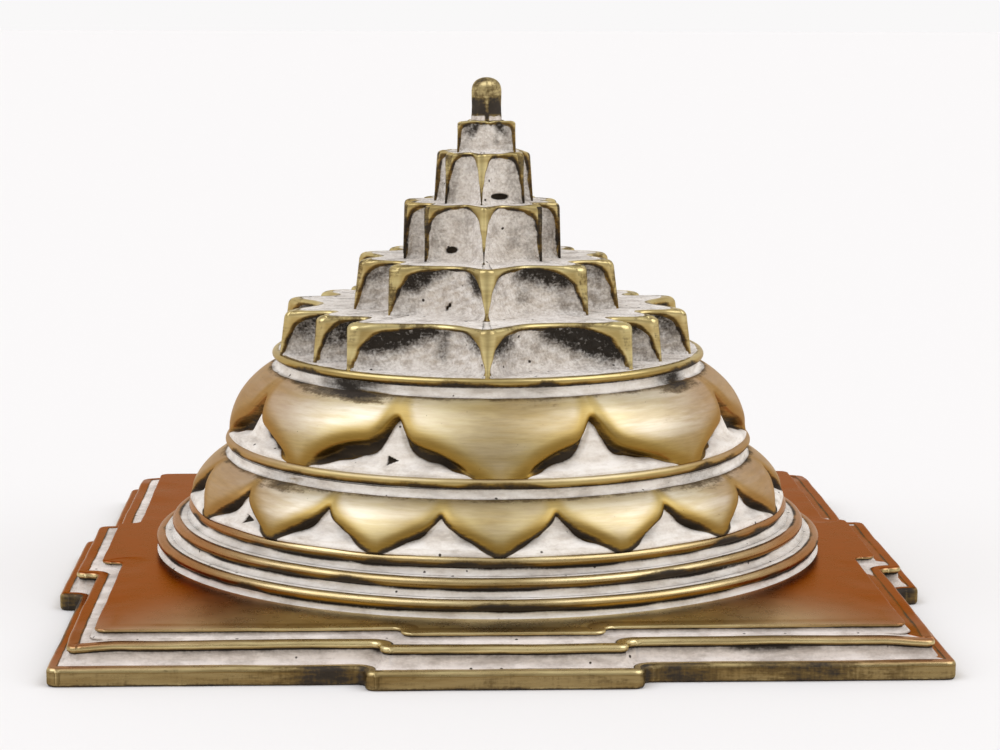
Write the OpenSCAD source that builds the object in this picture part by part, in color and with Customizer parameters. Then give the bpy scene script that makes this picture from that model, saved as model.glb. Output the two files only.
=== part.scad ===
// Meru shri yantra: the shri yantra diagram raised into a stepped brass mountain.
// Square plinths with gates, three circle steps, two lotus rings, four star tiers,
// a triangle and the bindu. Each level is a casting of its own that registers in the
// level below it, and the lower levels are rings round one open hollow.
// Millimetres, +Z up, origin on the table under the middle, the front towards -Y.

/* [Plinths] */
// Width of the lower plinth between its gates
plinth_w = 150; // [140:1:170]
// Height of the lower plinth
lower_plinth_h = 3.2; // [2.6:0.1:5]
// Height of the middle plinth
middle_plinth_h = 3.4; // [2.4:0.1:4.4]
// Height of the upper plinth
upper_plinth_h = 1.3; // [1.1:0.1:3]
// Set-back of the middle plinth on each side
middle_setback = 2.9; // [1.5:0.1:4]
// Set-back of the upper plinth on each side
upper_setback = 4.3; // [2:0.1:5]
// Width of the gate on the lower plinth
gate_w = 45.8; // [40:0.2:60]
// How far a gate stands out from its side
gate_out = 4; // [3:0.1:6]
// Radius of the outer and inner corners of a gate
gate_corner_r = 1.2; // [0.6:0.1:1.4]

/* [Circle steps] */
// Diameter over the lip of the outer circle step
circle_d = 125.8; // [122:0.2:130]
// Height of one circle step
step_h = 3.05; // [2.6:0.05:4]
// Set-back of each circle step from the one below it
step_setback = 3.1; // [2.6:0.1:3.4]
// Thickness of a lip
lip_t = 1.6; // [1:0.1:1.7]
// Radius of the cove at the foot of a riser
cove_r = 1.4; // [1:0.1:1.5]

/* [Sixteen petals] */
// Ledge of the inner circle step in front of the sixteen petals
sixteen_ledge = 0.4; // [0.2:0.1:1]
// How far the sixteen petals draw in from their foot to half their height
sixteen_belly_in = 1.4; // [1:0.1:2]
// How far the sixteen petals draw in from their foot to their top
sixteen_top_in = 6.3; // [5.8:0.1:7]
// Height of the sixteen petal bowl
sixteen_bowl_h = 8.6; // [8:0.1:10]
// Height of the neck above the sixteen petals
sixteen_neck_h = 1.6; // [1:0.1:3]
// Height of the recess between two of the sixteen petals
sixteen_recess_h = 6.4; // [5:0.1:7]

/* [Eight petals] */
// How far the lip of the eight petal ring stands inside the top of the sixteen petals
eight_lip_in = 0.3; // [0.1:0.1:1]
// Height of the lip of the eight petal ring
eight_lip_h = 1.95; // [1.6:0.05:2.6]
// Ledge of that lip in front of the eight petals
eight_ledge = 0.8; // [0.8:0.1:1.4]
// How far the eight petals draw in from their foot to half their height
eight_belly_in = 1.5; // [1.2:0.1:2]
// How far the eight petals draw in from their foot to their top
eight_top_in = 7.65; // [7:0.05:8.5]
// Height of the eight petal bowl
eight_bowl_h = 12.7; // [12:0.1:14]
// Height of the neck above the eight petals
eight_neck_h = 1.75; // [1:0.05:3]
// Height of the recess between two of the eight petals
eight_recess_h = 9.4; // [8:0.1:10]

/* [Tiers] */
// How far the lip of the fourteen point tier stands inside the top of the eight petals
tier_lip_in = 0.6; // [0.2:0.1:1]
// Height of the lip of the fourteen point tier
tier_lip_h = 1.65; // [1.5:0.05:2.4]
// Ledge of that lip in front of the fourteen points
tier_ledge = 0.65; // [0.5:0.05:1.5]
// Height of the fourteen point star
fourteen_h = 8.3; // [7:0.1:10]
// Diameter over the points of the outer ten point tier
outer_ten_d = 53; // [50:0.5:56]
// Height of the outer ten point tier
outer_ten_h = 9; // [7:0.1:11]
// Diameter over the points of the inner ten point tier
inner_ten_d = 31.6; // [29:0.2:34]
// Height of the inner ten point tier
inner_ten_h = 10.4; // [8:0.1:12]
// Diameter over the points of the eight point tier
eight_d = 20; // [18:0.2:22]
// Height of the eight point tier
eight_h = 9.3; // [7:0.1:11]
// Distance from the middle to a corner of the triangle
triangle_r = 6.3; // [5.4:0.1:7]
// Height of the triangle tier
triangle_h = 5.7; // [5:0.1:8]
// Lean of the points, inwards from foot to rim, per millimetre of height
point_lean = 0.16; // [0.05:0.01:0.2]

/* [Bindu] */
// Width of the bindu from corner to corner
bindu_w = 5.9; // [5:0.1:6.4]
// Height of the bindu
bindu_h = 8; // [6:0.1:10]

/* [Castings and joints] */
// Wall of the sixteen petal ring at its neck
sixteen_wall = 7; // [5.5:0.1:8]
// Wall of each round register
register_w = 3; // [2.5:0.1:3]
// Depth of each round register
register_h = 1.6; // [1:0.1:1.7]
// Wall of the eight petal ring at its neck
eight_wall = 4.3; // [3.5:0.1:5]
// Depth of the plug and of the pegs under the tiers
peg_h = 3; // [2:0.1:3.5]
// Clearance all round a register, plug or peg
fit = 0.15; // [0.1:0.05:0.3]

/* [Hidden] */
$fn = 96;
// Cutters run this far past the faces they cut
cut = 1;
// Gate ends draw in by this share of their plinth's set-back
gate_draw = 0.82;
// A riser stands this far inside its lip
lip_reach = 0.65;
// A neck stands this far inside the lip above it
neck_reach = 0.7;
// Petal tips stay this wide at the lip
sixteen_tip_w = 2;
eight_tip_w = 6;
// Depth of a petal recess at its foot
sixteen_recess_d = 3.6;
eight_recess_d = 4.2;
// Rise of a petal's edge over the straight line from its tip to the recess top
sixteen_edge_rise = 0.6;
eight_edge_rise = 2.3;
// Width of the flat that a point keeps at its foot
point_flat = 0.2;
// Peg radius as a share of the radius of the tier it carries
peg_share = 0.42;
// Bindu: dome radius and peg radius as shares of its width
bindu_dome_share = 0.56;
bindu_peg_share = 0.27;

// A quarter of each star from the front to the side, points and valleys in turn.
// Each entry is the angle from the front and the share of the tier's radius.
fourteen_quarter = [[0, 1], [14.5, 0.78], [40.5, 0.98], [46.5, 0.74],
                    [57.5, 0.94], [66, 0.76], [74.5, 0.99], [90, 0.77]];
ten_quarter = [[0, 1], [18.5, 0.71], [46.5, 0.95], [56, 0.7], [71.5, 0.98], [90, 0.74]];
eight_quarter = [[0, 1], [22, 0.72], [50, 0.97], [70, 0.76], [90, 0.93]];

// Widths of the plinths and of their gates
middle_w = plinth_w - 2 * middle_setback;
upper_w = middle_w - 2 * upper_setback;
middle_gate_w = gate_w - 2 * gate_draw * middle_setback;
upper_gate_w = middle_gate_w - 2 * gate_draw * upper_setback;

// Radii of the lips, rings and tiers
outer_lip_r = circle_d / 2;
middle_lip_r = outer_lip_r - step_setback;
inner_lip_r = middle_lip_r - step_setback;
sixteen_foot_r = inner_lip_r - sixteen_ledge;
sixteen_top_r = sixteen_foot_r - sixteen_top_in;
eight_lip_r = sixteen_top_r - eight_lip_in;
eight_foot_r = eight_lip_r - eight_ledge;
eight_top_r = eight_foot_r - eight_top_in;
tier_lip_r = eight_top_r - tier_lip_in;
fourteen_r = tier_lip_r - tier_ledge;
sixteen_neck_r = eight_lip_r - neck_reach;
eight_neck_r = tier_lip_r - neck_reach;

// Heights of the underside of each level
middle_z = lower_plinth_h;
upper_z = middle_z + middle_plinth_h;
outer_step_z = upper_z + upper_plinth_h;
middle_step_z = outer_step_z + step_h;
inner_step_z = middle_step_z + step_h;
sixteen_z = inner_step_z + step_h;
eight_z = sixteen_z + sixteen_bowl_h + sixteen_neck_h;
fourteen_z = eight_z + eight_lip_h + eight_bowl_h + eight_neck_h;
outer_ten_z = fourteen_z + tier_lip_h + fourteen_h;
inner_ten_z = outer_ten_z + outer_ten_h;
eight_tier_z = inner_ten_z + inner_ten_h;
triangle_z = eight_tier_z + eight_h;
bindu_z = triangle_z + triangle_h;

// Radius of the hollow in each ring, from the lower plinth upwards
bore_r = [for (level = [6 : -1 : 0]) sixteen_neck_r - sixteen_wall + level * register_w];
dome_bore_r = eight_neck_r - eight_wall;

// Centre of the circle through three points
function arc_centre(p, q, s) =
    let (d = 2 * (p.x * (q.y - s.y) + q.x * (s.y - p.y) + s.x * (p.y - q.y)))
    [((p * p) * (q.y - s.y) + (q * q) * (s.y - p.y) + (s * s) * (p.y - q.y)) / d,
     ((p * p) * (s.x - q.x) + (q * q) * (p.x - s.x) + (s * s) * (q.x - p.x)) / d];

// Star outline round the whole tier from its front quarter
function back_of(quarter) =
    [for (i = [len(quarter) - 2 : -1 : 0]) [180 - quarter[i].x, quarter[i].y]];
function right_of(quarter) = concat(quarter, back_of(quarter));
function left_of(right) =
    [for (i = [len(right) - 2 : -1 : 1]) [-right[i].x, right[i].y]];
function round_star(quarter) =
    let (right = right_of(quarter))
    concat(right, left_of(right));
function place(corner, r) = r * corner.y * [sin(corner.x), -cos(corner.x)];

// Gate on the front side of a plinth, seen from above, with its round corners
module gate_outline(w, gate) {
    edge = -w / 2;
    front = edge - gate_out;
    translate([-gate / 2, front + gate_corner_r])
        square([gate, gate_out]);
    translate([-gate / 2 + gate_corner_r, front])
        square([gate - 2 * gate_corner_r, gate_out]);
    for (side = [-1, 1]) {
        translate([side * (gate / 2 - gate_corner_r), front + gate_corner_r])
            circle(gate_corner_r);
        difference() {
            translate([side * (gate / 2 + gate_corner_r / 2), edge])
                square([gate_corner_r, 2 * gate_corner_r], center = true);
            translate([side * (gate / 2 + gate_corner_r), edge - gate_corner_r])
                circle(gate_corner_r);
        }
    }
}

// One square plate with four gates, a round register below and the hollow through it
module plinth_level(z, h, w, gate, plug_r, hole_r) {
    difference() {
        union() {
            translate([0, 0, z])
                linear_extrude(h) {
                    square(w, center = true);
                    for (side = [0 : 90 : 270])
                        rotate(side)
                            gate_outline(w, gate);
                }
            if (plug_r > 0)
                translate([0, 0, z - register_h])
                    cylinder(r = plug_r, h = register_h + h / 2);
        }
        translate([0, 0, z - register_h - cut])
            cylinder(r = hole_r, h = register_h + h + 2 * cut);
    }
}

// Half section of a lip with a half-round edge, its top at top_z
module lip_section(inner_r, lip_r, top_z) {
    translate([inner_r, top_z - lip_t])
        square([lip_r - lip_t / 2 - inner_r, lip_t]);
    translate([lip_r - lip_t / 2, top_z - lip_t / 2])
        circle(lip_t / 2);
}

// Half section of the cove at the foot of a riser
module cove_section(riser_r, z) {
    difference() {
        translate([riser_r - cut, z])
            square([cove_r + cut, cove_r]);
        translate([riser_r + cove_r, z + cove_r])
            circle(cove_r);
    }
}

// One circle step: cove, riser, lip and register, as a ring round the hollow
module circle_step(z, lip_r, plug_r, hole_r) {
    riser_r = lip_r - lip_reach;
    rotate_extrude() {
        translate([hole_r, z])
            square([riser_r - hole_r, step_h]);
        cove_section(riser_r, z);
        lip_section(hole_r, lip_r, z + step_h);
        translate([hole_r, z - register_h])
            square([plug_r - hole_r, register_h + step_h / 2]);
    }
}

// Half section of a petal bowl: the arc through its foot, belly and top
module bowl_section(inner_r, z, h, foot_r, belly_r, top_r) {
    centre = arc_centre([foot_r, z], [belly_r, z + h / 2], [top_r, z + h]);
    intersection() {
        translate(centre)
            circle(norm([foot_r, z] - centre));
        translate([inner_r, z])
            square([foot_r - inner_r + cut, h]);
    }
}

// Recess between two petals, seen from the front: a tent whose sides are petal edges
module recess_outline(half_w, h, rise) {
    side = [-half_w, h];
    chord = norm(side);
    edge_r = chord * chord / (8 * rise) + rise / 2;
    across = [h, half_w] / chord;
    edge_centre = [half_w / 2, h / 2] + (edge_r - rise) * across;
    difference() {
        translate([-half_w, -cut])
            square([2 * half_w, h + 2 * cut]);
        for (turn = [-1, 1])
            translate([turn * edge_centre.x, edge_centre.y])
                circle(edge_r);
    }
}

// Ring of petals: the bowl with its recesses, which end at a round wall
module petal_ring(count, z, h, foot_r, belly_r, top_r, tip_w, recess_h, recess_d, rise, inner_r) {
    recess_w = foot_r * sin(180 / count) - tip_w / 2;
    difference() {
        rotate_extrude()
            bowl_section(inner_r, z, h, foot_r, belly_r, top_r);
        for (turn = [0 : count - 1])
            rotate((turn + 0.5) * 360 / count)
                difference() {
                    translate([0, -inner_r, z])
                        rotate([90, 0, 0])
                            linear_extrude(foot_r - inner_r + cut)
                                recess_outline(recess_w, recess_h, rise);
                    translate([0, 0, z - 2 * cut])
                        cylinder(r = foot_r - recess_d, h = h + 2 * cut);
                }
    }
}

// Prism of a star tier with each point cut back to a narrow leaning face
module star_tier(quarter, r, z, h) {
    corners = round_star(quarter);
    block = h + 2 * cut;
    difference() {
        translate([0, 0, z])
            linear_extrude(h)
                polygon([for (corner = corners) place(corner, r)]);
        for (i = [0 : 2 : len(corners) - 1])
            rotate(corners[i].x)
                translate([0, point_flat - r * corners[i].y, z])
                    rotate([-atan(point_lean), 0, 0])
                        translate([-block / 2, -block, -cut])
                            cube([block, block, 2 * block]);
    }
}

// Peg under a tier, rooted in the tier, and the socket that takes it
module peg(r, z) {
    translate([0, 0, z - peg_h])
        cylinder(r = r, h = peg_h + cut);
}
module socket(r, z) {
    translate([0, 0, z - peg_h - 2 * fit])
        cylinder(r = r + fit, h = peg_h + 2 * fit + cut);
}

module lower_plinth() {
    color("#9c6a33")
        plinth_level(0, lower_plinth_h, plinth_w, gate_w, 0, bore_r[0]);
}

module middle_plinth() {
    color("#a5713a")
        plinth_level(middle_z, middle_plinth_h, middle_w, middle_gate_w, bore_r[0] - fit, bore_r[1]);
}

module upper_plinth() {
    color("#a8632f")
        plinth_level(upper_z, upper_plinth_h, upper_w, upper_gate_w, bore_r[1] - fit, bore_r[2]);
}

module outer_circle_step() {
    color("#a9844a")
        circle_step(outer_step_z, outer_lip_r, bore_r[2] - fit, bore_r[3]);
}

module middle_circle_step() {
    color("#b08b4f")
        circle_step(middle_step_z, middle_lip_r, bore_r[3] - fit, bore_r[4]);
}

module inner_circle_step() {
    color("#b7934f")
        circle_step(inner_step_z, inner_lip_r, bore_r[4] - fit, bore_r[5]);
}

module sixteen_petal_ring() {
    ring_h = sixteen_bowl_h + sixteen_neck_h;
    color("#b5964c")
        difference() {
            union() {
                translate([0, 0, sixteen_z - register_h])
                    cylinder(r = bore_r[5] - fit, h = register_h + cut);
                translate([0, 0, sixteen_z])
                    cylinder(r = sixteen_neck_r, h = ring_h);
                petal_ring(16, sixteen_z, sixteen_bowl_h, sixteen_foot_r,
                           sixteen_foot_r - sixteen_belly_in, sixteen_top_r, sixteen_tip_w,
                           sixteen_recess_h, sixteen_recess_d, sixteen_edge_rise,
                           sixteen_neck_r - cut);
            }
            translate([0, 0, sixteen_z - register_h - cut])
                cylinder(r = bore_r[6], h = register_h + ring_h + 2 * cut);
        }
}

module eight_petal_ring() {
    bowl_z = eight_z + eight_lip_h;
    ring_h = eight_lip_h + eight_bowl_h + eight_neck_h;
    color("#bda35b")
        difference() {
            union() {
                translate([0, 0, eight_z - register_h])
                    cylinder(r = bore_r[6] - fit, h = register_h + cut);
                translate([0, 0, eight_z])
                    cylinder(r = eight_neck_r, h = ring_h);
                rotate_extrude() {
                    translate([eight_neck_r - cut, eight_z])
                        square([sixteen_neck_r - eight_neck_r + cut, eight_lip_h]);
                    lip_section(eight_neck_r - cut, eight_lip_r, bowl_z);
                }
                petal_ring(8, bowl_z, eight_bowl_h, eight_foot_r,
                           eight_foot_r - eight_belly_in, eight_top_r, eight_tip_w,
                           eight_recess_h, eight_recess_d, eight_edge_rise,
                           eight_neck_r - cut);
            }
            translate([0, 0, eight_z - register_h - cut])
                cylinder(r = dome_bore_r, h = register_h + ring_h + 2 * cut);
        }
}

module fourteen_point_tier() {
    star_z = fourteen_z + tier_lip_h;
    color("#c2b8aa")
        difference() {
            union() {
                peg(dome_bore_r - fit, fourteen_z);
                rotate_extrude() {
                    translate([0, fourteen_z])
                        square([eight_neck_r, tier_lip_h]);
                    lip_section(0, tier_lip_r, star_z);
                }
                star_tier(fourteen_quarter, fourteen_r, star_z, fourteen_h);
            }
            socket(peg_share * outer_ten_d / 2, outer_ten_z);
        }
}

module outer_ten_point_tier() {
    color("#c6bcae")
        difference() {
            union() {
                star_tier(ten_quarter, outer_ten_d / 2, outer_ten_z, outer_ten_h);
                peg(peg_share * outer_ten_d / 2, outer_ten_z);
            }
            socket(peg_share * inner_ten_d / 2, inner_ten_z);
        }
}

module inner_ten_point_tier() {
    color("#bfb5a8")
        difference() {
            union() {
                star_tier(ten_quarter, inner_ten_d / 2, inner_ten_z, inner_ten_h);
                peg(peg_share * inner_ten_d / 2, inner_ten_z);
            }
            socket(peg_share * eight_d / 2, eight_tier_z);
        }
}

module eight_point_tier() {
    color("#bbb2a5")
        difference() {
            union() {
                star_tier(eight_quarter, eight_d / 2, eight_tier_z, eight_h);
                peg(peg_share * eight_d / 2, eight_tier_z);
            }
            socket(peg_share * triangle_r, triangle_z);
        }
}

module triangle_tier() {
    color("#b3aa9b")
        difference() {
            union() {
                translate([0, 0, triangle_z])
                    linear_extrude(triangle_h)
                        polygon([for (turn = [-60, 60, 180]) place([turn, 1], triangle_r)]);
                peg(peg_share * triangle_r, triangle_z);
            }
            socket(bindu_peg_share * bindu_w, bindu_z);
        }
}

module bindu() {
    dome_r = bindu_dome_share * bindu_w;
    side = bindu_w / sqrt(2);
    color("#a88a48") {
        intersection() {
            translate([0, 0, bindu_z])
                linear_extrude(bindu_h)
                    rotate(45)
                        square(side, center = true);
            union() {
                translate([0, 0, bindu_z])
                    cylinder(r = dome_r, h = bindu_h - dome_r);
                translate([0, 0, bindu_z + bindu_h - dome_r])
                    sphere(dome_r);
            }
        }
        peg(bindu_peg_share * bindu_w, bindu_z);
    }
}

lower_plinth();
middle_plinth();
upper_plinth();
outer_circle_step();
middle_circle_step();
inner_circle_step();
sixteen_petal_ring();
eight_petal_ring();
fourteen_point_tier();
outer_ten_point_tier();
inner_ten_point_tier();
eight_point_tier();
triangle_tier();
bindu();
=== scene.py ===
"""The looks of a brass meru shri yantra: worn gold edges, painted highlights, and tarnish, painted shade
and chalk in the recesses.

Every level of the mountain is a closed numpy surface that stands for its CAD node. The surfaces
carry five painted masks (chalk, dark, edge, copper_and_reflection, deep) that say where dust,
tarnish and painted shade, wear and painted highlights, a copper tone with a painted reflection of
a red wall, and an olive tone with painted darker reflections gather, and the brass materials read
them. Lengths are millimetres until a mesh is made, and azimuth 0 is the front (-Y).
"""

import math
from collections import namedtuple
from types import SimpleNamespace

import bpy
import numpy as np
from mathutils import Matrix, Vector


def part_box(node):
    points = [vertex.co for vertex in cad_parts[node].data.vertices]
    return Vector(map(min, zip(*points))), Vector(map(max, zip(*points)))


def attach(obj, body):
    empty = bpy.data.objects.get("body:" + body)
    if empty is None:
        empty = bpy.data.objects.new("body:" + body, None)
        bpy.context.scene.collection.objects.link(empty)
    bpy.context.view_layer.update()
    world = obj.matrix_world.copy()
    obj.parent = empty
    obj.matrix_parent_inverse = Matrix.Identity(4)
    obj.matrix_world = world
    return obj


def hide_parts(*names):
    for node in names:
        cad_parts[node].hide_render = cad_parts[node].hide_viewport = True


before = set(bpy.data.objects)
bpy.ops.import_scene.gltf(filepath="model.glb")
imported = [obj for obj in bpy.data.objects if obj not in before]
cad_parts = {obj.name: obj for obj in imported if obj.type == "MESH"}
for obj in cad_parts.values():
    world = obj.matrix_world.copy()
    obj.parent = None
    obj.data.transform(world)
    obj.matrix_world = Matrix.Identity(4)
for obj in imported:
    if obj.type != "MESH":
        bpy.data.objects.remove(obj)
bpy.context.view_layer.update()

MM = 0.001
MASKS = ("chalk", "dark", "edge", "copper_and_reflection", "deep")

# Camera, fitted to the edges of the plinths and the round lips in the photograph
CAMERA_AT = (-19.1, -500.1, 117.6)
CAMERA_PITCH = 8.84
CAMERA_YAW = -2.45
CAMERA_ROLL = 0.19
FOCAL_PX = 2668.7
FRAME_PX = 1000
SENSOR_MM = 36.0

# Levels from the bottom to the top, and their heights, read from the frame
PLINTHS = ["lower_plinth", "middle_plinth", "upper_plinth"]
CIRCLE_STEPS = ["outer_circle_step", "middle_circle_step", "inner_circle_step"]
LEVELS = PLINTHS + CIRCLE_STEPS + ["sixteen_petal_ring", "eight_petal_ring", "fourteen_point_tier",
                                   "outer_ten_point_tier", "inner_ten_point_tier",
                                   "eight_point_tier", "triangle_tier", "bindu"]
TOP = {node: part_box(node)[1].z / MM for node in LEVELS}
FOOT = {node: 0.0 if i == 0 else TOP[LEVELS[i - 1]] for i, node in enumerate(LEVELS)}
LOW = {node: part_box(node)[0].z / MM for node in LEVELS}

# Sizes shared with the solids
GATE_OUT = 4.0
GATE_HALF = {"lower_plinth": 22.9, "middle_plinth": 20.5, "upper_plinth": 17.0}
PLINTH_HALF = {node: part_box(node)[1].x / MM - GATE_OUT for node in PLINTHS}
BORE = dict(zip(LEVELS, [60.0, 57.0, 54.0, 51.0, 48.0, 45.0, 42.0, 35.65]))
FIT = 0.15
LIP_R = {"outer_circle_step": 62.9, "middle_circle_step": 59.8, "inner_circle_step": 56.7,
         "eight_petal_ring": 49.7, "fourteen_point_tier": 40.65}
STEP_IN = 3.1
NECK_REACH = 0.7
TIER_LIP_H = 1.65

# Star corners from the front to the side, points and valleys in turn: angle, share of the radius
FOURTEEN = [(0, 1.0), (14.5, 0.78), (40.5, 0.98), (46.5, 0.74),
            (57.5, 0.94), (66, 0.76), (74.5, 0.99), (90, 0.77)]
TEN = [(0, 1.0), (18.5, 0.71), (46.5, 0.95), (56, 0.70), (71.5, 0.98), (90, 0.74)]
EIGHT = [(0, 1.0), (22, 0.72), (50, 0.97), (70, 0.76), (90, 0.93)]
TRIANGLE = [(60, 1.0), (120, 0.5), (180, 1.0), (240, 0.5), (300, 1.0), (360, 0.5)]

# Hand wear: radii of the plinths' corners and gate bends, turn of a half-round lip in degrees
PLINTH_CORNER = 1.8
GATE_BEND = 1.6
LIP_TURN = 85
STEP_LIP_TURN = 88

# Stains along the sides of a plinth, on its face or in its cove: place, width and strength
FACE_STAINS = [(-30.0, 7.5, 0.8), (29.0, 5.0, 0.75), (52.0, 13.0, 0.6)]
COVE_STAINS = [(43.0, 7.0, 1.0), (-50.0, 12.0, 0.35)]

# Most copper tone on the turned flanks of each finish, partly a painted reflection of a red wall
FLANK = {"plinth_brass": 0.0, "step_brass": 0.85, "petal_brass": 0.55, "tier_brass": 0.2,
         "bindu_brass": 0.0}

# Fineness of the surfaces: columns round the axis or along a wall, rows on stretches of a section
ROUND_COLUMNS = 720
PETAL_COLUMNS = 1136
POST_COLUMNS = 192
WALL_COLUMNS = 30
PLATE_ROWS = 21
COVE_ROWS = 9
STEP_BEAD_ROWS = 17
STEP_LEDGE_ROWS = 13
BEAD_ROWS = 15
LEDGE_ROWS = 30
BOWL_ROWS = 60
WALL_ROWS = 50
RIM_TURNS = (22, 45, 67, 90)
DECK_ROWS = 16
POST_ROWS = 34
DOME_ROWS = 26

# Spire of a recess between petals: a bell, blunt at its top, on shoulders of a height
Spire = namedtuple("Spire", "height width blunt shoulder")

# Cut of a recess: its depth, the width of the petals' bevel and how far in its shade reaches
Cut = namedtuple("Cut", "depth bevel shade")

# Niche of a tier: its depth, the rim left above it, the radius of its cove, the lumps of its wall
Niche = namedtuple("Niche", "depth rim cove crumple")

# Ridge of a tier: half width at its foot, gained up to the top and flared under the rim, the drop
# over which the flare fades, the share of it that the side ridges have, and the shade at its foot
Ridge = namedtuple("Ridge", "foot flat flare decay side shade")

# Spandrel beside a side ridge: its width at the rim and the drop over which it narrows
Spandrel = namedtuple("Spandrel", "width decay")


# Small shaping functions

def ramp(x, low, high):
    """Smooth step: 0 at low, 1 at high."""
    t = np.clip((x - low) / (high - low), 0.0, 1.0)
    return t * t * (3.0 - 2.0 * t)


def mix(a, b, t):
    """a where t is 0, b where t is 1."""
    return a * (1.0 - t) + b * t


def bump(x, centre, width):
    """Bell of height 1 about a centre."""
    return np.exp(-((x - centre) / width) ** 2)


def waver(angle, seed, size):
    """Slow hand-made waver round the axis: three sine waves of a few cycles a turn."""
    waves = [(2, 0.5), (5, 0.3), (9, 0.2)]
    return size * sum(k * np.sin(n * angle + seed * (n + 1.7)) for n, k in waves)


def rounded(grid, share, rounds):
    """Running mean along the columns, taken in rounds, as strong as share says at each column."""
    for _ in range(rounds):
        mean = (np.roll(grid, 1, 1) + np.roll(grid, -1, 1)) / 2
        grid = mix(grid, mean, share)
    return grid


def arc(centre, radius, start, end, steps):
    """Points of an arc in the (r, z) plane, angles in degrees."""
    a = np.radians(np.linspace(start, end, steps))
    return np.stack([centre[0] + radius * np.cos(a), centre[1] + radius * np.sin(a)], -1)


def angles(count):
    """One turn of evenly spaced azimuths in radians, as a row."""
    return np.linspace(0.0, 2.0 * math.pi, count, endpoint=False)[None, :]


def turned(profile_r, profile_z, angle):
    """Grid of points from radii and heights that may differ round the axis."""
    x = profile_r * np.sin(angle)
    y = -profile_r * np.cos(angle)
    z = np.broadcast_to(profile_z, x.shape)
    return np.stack([x, y, z], -1)


def stacked(parts, values):
    """Column of values for the parts of a section in turn, each one number or a number per row."""
    return np.concatenate([np.broadcast_to(v, len(part)) for part, v in zip(parts, values)])[:, None]


def plug_radius(node):
    """Radius of the register under a level: the bore of the level below, less the fit."""
    return BORE[LEVELS[LEVELS.index(node) - 1]] - FIT


def side_copper_and_reflection(points, most):
    """Copper tone of the turned flanks, partly a painted red reflection: none in front, most at the sides.
    """
    azimuth = np.degrees(np.arctan2(np.abs(points[..., 0]), -points[..., 1]))
    return most * ramp(azimuth, 34.0, 66.0) * (1.0 - 0.7 * ramp(azimuth, 105.0, 140.0))


def lip_wear(angle, seed):
    """Degrees by which the tarnish and painted shade under a lip creep up: broad waves, short ones and
    patches.
    """
    patches = 95.0 * np.maximum(waver(angle * 3, seed + 2, 1.0) - 0.1, 0.0)
    return waver(angle * 2, seed + 4, 26.0) + waver(angle * 5, seed + 1, 18.0) + patches - 6.0


def lip_bead(lip_r, top, bead_r, angle, seed):
    """Half-round lip, underside to top: its section, the turn of its rows, its tarnish and painted shade.
    """
    section = arc((lip_r - bead_r, top - bead_r), bead_r, -LIP_TURN, LIP_TURN, BEAD_ROWS)
    turn = np.linspace(-LIP_TURN, LIP_TURN, BEAD_ROWS)
    return section, turn, ramp(lip_wear(angle, seed) - turn[:, None], -15.0, 100.0)


# Meshes

def make_piece(name, node, slot, points, masks, pole=False):
    """Closed surface from a grid of points (rows up the section, columns round the axis).

    Columns always close on themselves. Rows close too, unless pole is set: then the first
    and the last row each close on one middle point.
    """
    rows, cols = points.shape[:2]
    r = np.arange(rows - 1 if pole else rows)[:, None]
    c = np.arange(cols)[None, :]
    up = (r + 1) % rows
    on = (c + 1) % cols
    quads = np.stack(np.broadcast_arrays(r * cols + c, r * cols + on, up * cols + on, up * cols + c), -1)
    faces = quads.reshape(-1, 4).tolist()
    verts = points.reshape(-1, 3)
    if pole:
        ends = np.stack([points[0].mean(0), points[-1].mean(0)])
        verts = np.concatenate([verts, ends])
        low, high = rows * cols, rows * cols + 1
        around = np.arange(cols)
        ahead = (around + 1) % cols
        last = (rows - 1) * cols
        faces += np.stack([np.full(cols, low), ahead, around], -1).tolist()
        faces += np.stack([np.full(cols, high), last + around, last + ahead], -1).tolist()
    mesh = bpy.data.meshes.new(name)
    mesh.from_pydata((verts * MM).tolist(), [], faces)
    masks = {"copper_and_reflection": side_copper_and_reflection(points, FLANK[slot]), "deep": 0.0, **masks}
    for key in MASKS:
        flat = np.broadcast_to(masks[key], (rows, cols)).reshape(-1)
        if pole:
            flat = np.concatenate([flat, [flat[:cols].mean(), flat[-cols:].mean()]])
        layer = mesh.attributes.new(key, "FLOAT", "POINT")
        layer.data.foreach_set("value", np.clip(flat, 0.0, 1.0).astype(np.float32))
    mesh.materials.append(BRASS[slot])
    mesh.shade_smooth()
    piece = bpy.data.objects.new(name, mesh)
    bpy.context.scene.collection.objects.link(piece)
    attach(piece, "root")
    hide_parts(node)


# Plinths

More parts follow.
